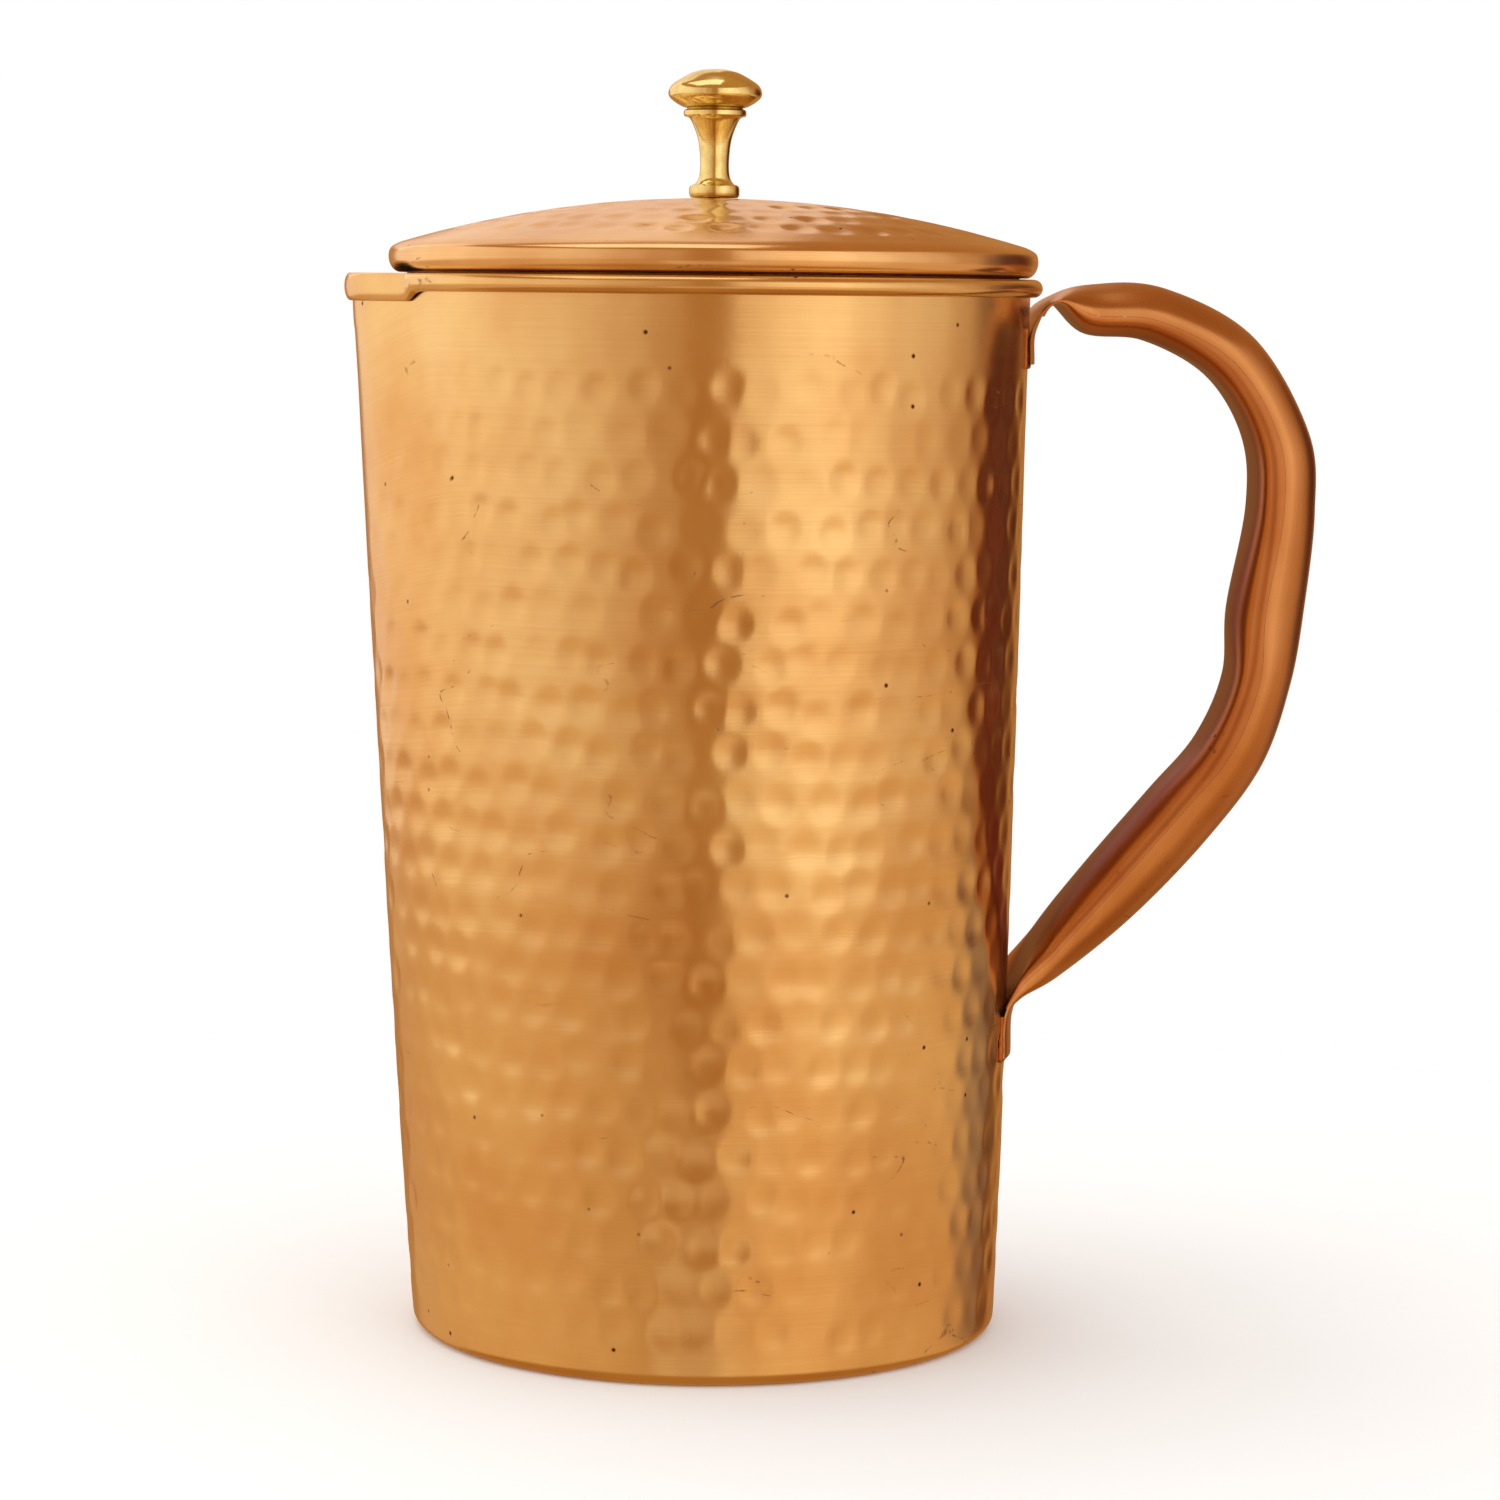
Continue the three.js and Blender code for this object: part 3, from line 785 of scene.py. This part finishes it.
lid_pitch, lid_spacing, lid_last = 7.6, 7.4, 57.0
lid_copper = satin_copper("satin_hammered_lid_copper", "#EFCF96", "#D9AC70", 0.2, stretch=0.3)
hammer(
    lid_dome,
    lid_copper,
    aim_at_lid,
    {
        "Blows": int(math.pi * lid_last**2 / (lid_pitch * lid_spacing)),
        "Blow spacing": lid_spacing * MM,
        "Row pitch": lid_pitch * MM,
        "First reach": 8.5 * MM,
        "Stray": 0.8 * MM,
        "Dent radius": dent_radius * MM,
        "Dent depth": 0.36 * MM,
        "Rim softness": 1.5,
        "Unevenness": 0.6,
        "Swell depth": 0.1 * MM,
        "Swell top": 0.3,
        "Plain top": 0.31,
        "Seed": 3,
    },
)
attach(lid_dome, "lid")
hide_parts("lid_dome")

collar_low, collar_high = [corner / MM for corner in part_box("lid_collar")]
collar_radius, collar_bottom = collar_high.x, collar_low.z
collar_clear = sheet + lid_gap
flange_radius = 54.0
turn_in = collar_radius - 1.5
collar_section = (
    [(collar_radius - sheet, collar_bottom + 0.2), (collar_radius - sheet / 2, collar_bottom)]
    + [(collar_radius, collar_bottom + 0.2), (collar_radius, dome_height(collar_radius) - collar_clear - 0.7)]
    + [(collar_radius - 0.5, dome_height(collar_radius) - collar_clear)]
    + [(r, dome_height(r) - collar_clear) for r in (turn_in, flange_radius + 2, flange_radius)]
    + [(r, dome_height(r) - collar_clear - sheet) for r in (flange_radius, flange_radius + 2, turn_in)]
    + [(collar_radius - sheet, dome_height(collar_radius) - collar_clear - sheet - 0.7)]
)
lid_collar = make_mesh("lid_collar_ring", *join_rings(revolve(collar_section, 256), True))
collar_copper = satin_copper("scoured_collar_copper", "#E6AE78", "#CC8B55", 0.38, stretch=0.6)
lid_collar.data.materials.append(collar_copper)
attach(lid_collar, "lid")
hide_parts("lid_collar")


# ---- Knob --------------------------------------------------------------------------------
# Solid brass, turned on a lathe and polished: a foot flange, a waisted neck, a sharp ring and
# a mushroom cap. It is drilled and tapped from below for the screw.

knob_seat = (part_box("knob")[0] / MM).z
knob_hole, knob_hole_depth = 1.6, 10.0
foot_profile = [(4.75, 0.05), (4.87, 0.3), (4.9, 0.8), (4.9, 1.6), (4.7, 2.1), (4.2, 2.35)]
neck_profile = smooth_path(
    [(3.9, 2.4), (3.3, 3.1), (2.9, 4.4), (2.8, 6.8), (3.1, 10.2), (3.7, 12.5), (4.7, 14.8), (5.3, 15.4)], 6
)
ring_profile = [(5.9, 15.5), (6.1, 15.75), (6.1, 16.55), (5.85, 16.8), (5.4, 16.95)]
cap_profile = smooth_path(
    [(5.5, 17.15), (6.4, 17.4), (7.8, 18.2), (8.9, 19.2), (9.1, 20.2), (8.5, 21.5), (7.0, 22.6)]
    + [(4.6, 23.9), (2.4, 24.5), (0.6, 24.64), (0.01, 24.65)],
    6,
)
underside = [(knob_hole, -0.15), (4.5, -0.2)]
knob_profile = underside + foot_profile + neck_profile + ring_profile + cap_profile
knob_profile += [(0.01, knob_hole_depth), (knob_hole, knob_hole_depth)]
knob_section = [(r, knob_seat + z) for r, z in knob_profile]
knob = make_mesh("knob_turned", *join_rings(revolve(knob_section, 128), True), crease=32)


def turned_metal(name, bright, deep, roughness, crevice_shade_strength):
    """Lathe-turned and polished metal: faint tool rings round the axis, blotches of tarnish, and
    painted shade that deepens the tint in crevices. Sizes are in millimetres."""
    ring_pitch, ring_relief, stain_size = 0.25, 0.006, 3.5
    material = bpy.data.materials.new(name)
    material.use_nodes = True
    tree = material.node_tree
    shader = tree.nodes["Principled BSDF"]
    place = add_node(tree, "ShaderNodeTexCoord").outputs["Object"]
    place = add_node(tree, "ShaderNodeVectorMath", {0: place, "Scale": 1 / MM}, operation="SCALE")
    axes = add_node(tree, "ShaderNodeSeparateXYZ", {0: place}).outputs
    flat = add_node(tree, "ShaderNodeCombineXYZ", {0: axes[0], 1: axes[1]})
    reach = add_node(tree, "ShaderNodeVectorMath", {0: flat}, operation="LENGTH")
    across = add_node(tree, "ShaderNodeMath", {0: reach, 1: axes[2]}, operation="SUBTRACT")
    tool = add_node(tree, "ShaderNodeTexNoise", {"Vector": (0, 0, 0), "Scale": 1 / ring_pitch, "Detail": 2})
    tool.noise_dimensions = "1D"
    tree.links.new(across.outputs[0], tool.inputs["W"])
    stain_and_shade = add_node(
        tree,
        "ShaderNodeTexNoise",
        {"Vector": place, "Scale": 1 / stain_size, "Detail": 5, "Roughness": 0.65},
    )
    stain_and_shade = add_node(tree, "ShaderNodeMapRange", {"Value": stain_and_shade, "From Min": 0.42, "From Max": 0.72})
    # Painted shade: the ambient-occlusion node darkens and roughens the tint where the surface is closed in,
    # in the crevices and under the cap.
    painted_crevice_shade = add_node(tree, "ShaderNodeAmbientOcclusion", {"Distance": 2.5 * MM}, samples=8)
    painted_crevice_shade = add_node(
        tree,
        "ShaderNodeMapRange",
        {"Value": painted_crevice_shade.outputs["AO"], "From Min": 0.3, "From Max": 0.9, "To Min": 1, "To Max": 0},
    )
    stain_and_shade = add_node(tree, "ShaderNodeMath", {0: stain_and_shade, 1: 0.5}, operation="MULTIPLY")
    tarnish_and_crevice_shade = add_node(
        tree, "ShaderNodeMath", {0: painted_crevice_shade, 1: crevice_shade_strength, 2: stain_and_shade}, operation="MULTIPLY_ADD", use_clamp=True
    )
    tint = add_node(
        tree, "ShaderNodeMix", {"Factor": tarnish_and_crevice_shade, 6: linear(bright), 7: linear(deep)}, data_type="RGBA"
    )
    tree.links.new(tint.outputs[2], shader.inputs["Base Color"])
    shader.inputs["Metallic"].default_value = 1
    gloss = add_node(tree, "ShaderNodeMath", {0: tarnish_and_crevice_shade, 1: 0.18, 2: roughness}, operation="MULTIPLY_ADD")
    tree.links.new(gloss.outputs[0], shader.inputs["Roughness"])
    relief = add_node(tree, "ShaderNodeMath", {0: tool, 1: ring_relief}, operation="MULTIPLY")
    bump = add_node(tree, "ShaderNodeBump", {"Strength": 1, "Distance": MM, "Height": relief})
    tree.links.new(bump.outputs[0], shader.inputs["Normal"])
    return material


knob_brass = turned_metal("polished_turned_brass", "#F3EDA6", "#B38C3A", 0.1, 0.6)
knob.data.materials.append(knob_brass)
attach(knob, "lid")
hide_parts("knob")


# ---- Washer and screw --------------------------------------------------------------------
# Under the lid a brass washer spreads the pull of one pan-head steel screw, driven up through
# the dome into the knob.

washer_low, washer_high = [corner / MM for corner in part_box("knob_washer")]
washer_radius = washer_high.x
washer_section = [
    (knob_hole + 0.2, washer_low.z + 0.1),
    (knob_hole + 0.3, washer_low.z),
    (washer_radius - 0.2, washer_low.z),
    (washer_radius, washer_low.z + 0.2),
    (washer_radius, washer_high.z - 0.3),
    (washer_radius - 0.2, washer_high.z - 0.1),
    (knob_hole + 0.2, washer_high.z),
]
knob_washer = make_mesh("knob_washer_brass", *join_rings(revolve(washer_section, 96), True), crease=25)
knob_washer.data.materials.append(turned_metal("stamped_brass_washer", "#E5C077", "#A97C36", 0.26, 0.4))
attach(knob_washer, "lid")
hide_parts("knob_washer")

screw_low, screw_high = [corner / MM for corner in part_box("knob_screw")]
head_radius, head_rise = 3.0, 2.2
head_top = screw_low.z + head_rise
shank_radius, thread_pitch, thread_depth = 1.3, 0.5, 0.12
threads = []
for turn in np.arange(head_top + 1.2, screw_high.z - 0.9, thread_pitch):
    threads += [(shank_radius - thread_depth, turn), (shank_radius, turn + thread_pitch / 2)]
screw_section = (
    [(0.01, screw_low.z + 0.9), (1.0, screw_low.z + 0.9), (1.1, screw_low.z + 0.05), (1.9, screw_low.z + 0.1)]
    + smooth_path([(1.9, screw_low.z + 0.1), (2.7, screw_low.z + 0.7), (head_radius, head_top - 0.2)], 4)[1:]
    + [(head_radius - 0.1, head_top), (shank_radius, head_top)]
    + threads
    + [(shank_radius - thread_depth, screw_high.z - 0.4), (0.01, screw_high.z)]
)
knob_screw = make_mesh("knob_screw_steel", *join_rings(revolve(screw_section, 64), False), crease=30)
knob_screw.data.materials.append(turned_metal("zinc_plated_steel", "#C9CCCF", "#7C7D80", 0.24, 0.4))
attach(knob_screw, "lid")
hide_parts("knob_screw")


# ---- Studio ------------------------------------------------------------------------------
# A plain white table in a white room, tall soft lights round the jug, and the camera a little
# above it and to its left. From here on lengths are in metres.

table_radius = 0.34
angles = np.linspace(0, 2 * np.pi, 96, endpoint=False)
rim = [(table_radius * math.cos(a), table_radius * math.sin(a), -0.0002) for a in angles]
table_mesh = bpy.data.meshes.new("table")
table_mesh.from_pydata(rim, [], [list(range(96))])
table = bpy.data.objects.new("table", table_mesh)
bpy.context.scene.collection.objects.link(table)
table_white = bpy.data.materials.new("matt_white_paint")
table_white.use_nodes = True
table_white.node_tree.nodes["Principled BSDF"].inputs["Base Color"].default_value = linear("#F4F3F1")
table_white.node_tree.nodes["Principled BSDF"].inputs["Roughness"].default_value = 0.8
table_mesh.materials.append(table_white)
table.visible_glossy = False


def around_jug(azimuth, distance, height):
    """A place round the jug: 0 degrees is in front, and positive is to its right."""
    turn = math.radians(azimuth)
    return Vector((distance * math.sin(turn), -distance * math.cos(turn), height))


def softbox(name, azimuth, spread, brightness, low=-0.4, high=1.3, distance=1.3, tint="#FFFFFF"):
    """A tall soft light that faces the jug and fills a spread of degrees round it."""
    light = bpy.data.lights.new(name, "AREA")
    light.shape = "RECTANGLE"
    light.size = 2 * distance * math.tan(math.radians(spread / 2))
    light.size_y = high - low
    light.energy = brightness * math.pi * light.size * light.size_y
    light.color = linear(tint)[:3]
    lamp = bpy.data.objects.new(name, light)
    bpy.context.scene.collection.objects.link(lamp)
    lamp.location = around_jug(azimuth, distance, (low + high) / 2)
    lamp.rotation_euler = (-around_jug(azimuth, distance, 0)).to_track_quat("-Z", "Y").to_euler()
    lamp.visible_camera = False
    return lamp


# Strips of light side by side make two broad, graded walls of light: brightness by azimuth,
# less below the horizon, with a dark gap in front, behind the camera, and one at the right.
strip = 14
horizon, skirting, low_tint = -0.08, -0.9, "#F6E2CA"
left_wall = (
    (0.15, 0.11), (0.3, 0.22), (0.4, 0.29), (0.49, 0.34), (0.56, 0.37),
    (0.62, 0.36), (0.69, 0.35), (0.68, 0.29), (0.65, 0.25), (0.6, 0.23),
)
right_wall = (
    (0.6, 0.4), (0.8, 0.53), (0.87, 0.57), (0.66, 0.44), (0.46, 0.34),
    (0.34, 0.34), (0.16, 0.33), (0.06, 0.3), (0.02, 0.24),
)
for side, start, levels in (("left", -18, left_wall), ("right", 13, right_wall)):
    for i, (above, below) in enumerate(levels):
        azimuth = start + math.copysign(strip * i, start)
        softbox(f"{side}_wall_{i}", azimuth, strip, above, low=horizon)
        softbox(f"{side}_foot_{i}", azimuth, strip, below, low=skirting, high=horizon, tint=low_tint)
softbox("front_fill", -5, 30, 0.22, low=-0.9, high=-0.3)
softbox("backdrop", -166, 40, 0.5, low=0.42, high=1.6)
top_light = softbox("overhead", 0, 40, 0.95, low=0, high=1.0)
top_light.location = (-0.3, 0.1, 1.4)
top_light.rotation_euler = (0, 0, 0)

room = bpy.data.worlds.new("white_room")
room.use_nodes = True
room_tree = room.node_tree
ray = add_node(room_tree, "ShaderNodeLightPath").outputs
dark_azimuth = 130
towards = add_node(room_tree, "ShaderNodeTexCoord").outputs["Generated"]
dark_side = add_node(
    room_tree,
    "ShaderNodeVectorMath",
    {0: towards, 1: around_jug(dark_azimuth, 1, 0)},
    operation="DOT_PRODUCT",
)
dark_side = add_node(
    room_tree, "ShaderNodeMapRange", {"Value": dark_side.outputs["Value"], "From Min": 0.9, "From Max": 0.98}
)
room_warm, room_shade = (0.5, 0.22, 0.062, 1), (0.1, 0.012, 0.001, 1)
room_grey, room_white = (0.95, 0.95, 0.95, 1), (1, 1, 1, 1)
dim = add_node(
    room_tree,
    "ShaderNodeMix",
    {"Factor": dark_side, 6: room_warm, 7: room_shade},
    data_type="RGBA",
)
plain = add_node(
    room_tree,
    "ShaderNodeMix",
    {"Factor": ray["Is Glossy Ray"], 6: room_grey, 7: dim.outputs[2]},
    data_type="RGBA",
)
room_tint = add_node(
    room_tree,
    "ShaderNodeMix",
    {"Factor": ray["Is Camera Ray"], 6: plain.outputs[2], 7: room_white},
    data_type="RGBA",
)
room_tree.links.new(room_tint.outputs[2], room_tree.nodes["Background"].inputs["Color"])
bpy.context.scene.world = room
bpy.context.scene.view_settings.view_transform = "Standard"

camera_distance, camera_height = 0.85, 0.2039
camera_azimuth, camera_pitch, camera_turn, camera_roll = -1.5, 6.04, 0.548, 0.62
lens = bpy.data.cameras.new("camera")
lens.lens = 103.79
lens.sensor_width = 36
lens.clip_start = 0.01
camera = bpy.data.objects.new("camera", lens)
bpy.context.scene.collection.objects.link(camera)
heading = Matrix.Rotation(math.radians(camera_azimuth - camera_turn), 4, "Z")
pitch = Matrix.Rotation(math.radians(90 - camera_pitch), 4, "X")
roll = Matrix.Rotation(math.radians(camera_roll), 4, "Z")
camera.matrix_world = (
    Matrix.Translation(around_jug(camera_azimuth, camera_distance, camera_height)) @ heading @ pitch @ roll
)
bpy.context.scene.camera = camera
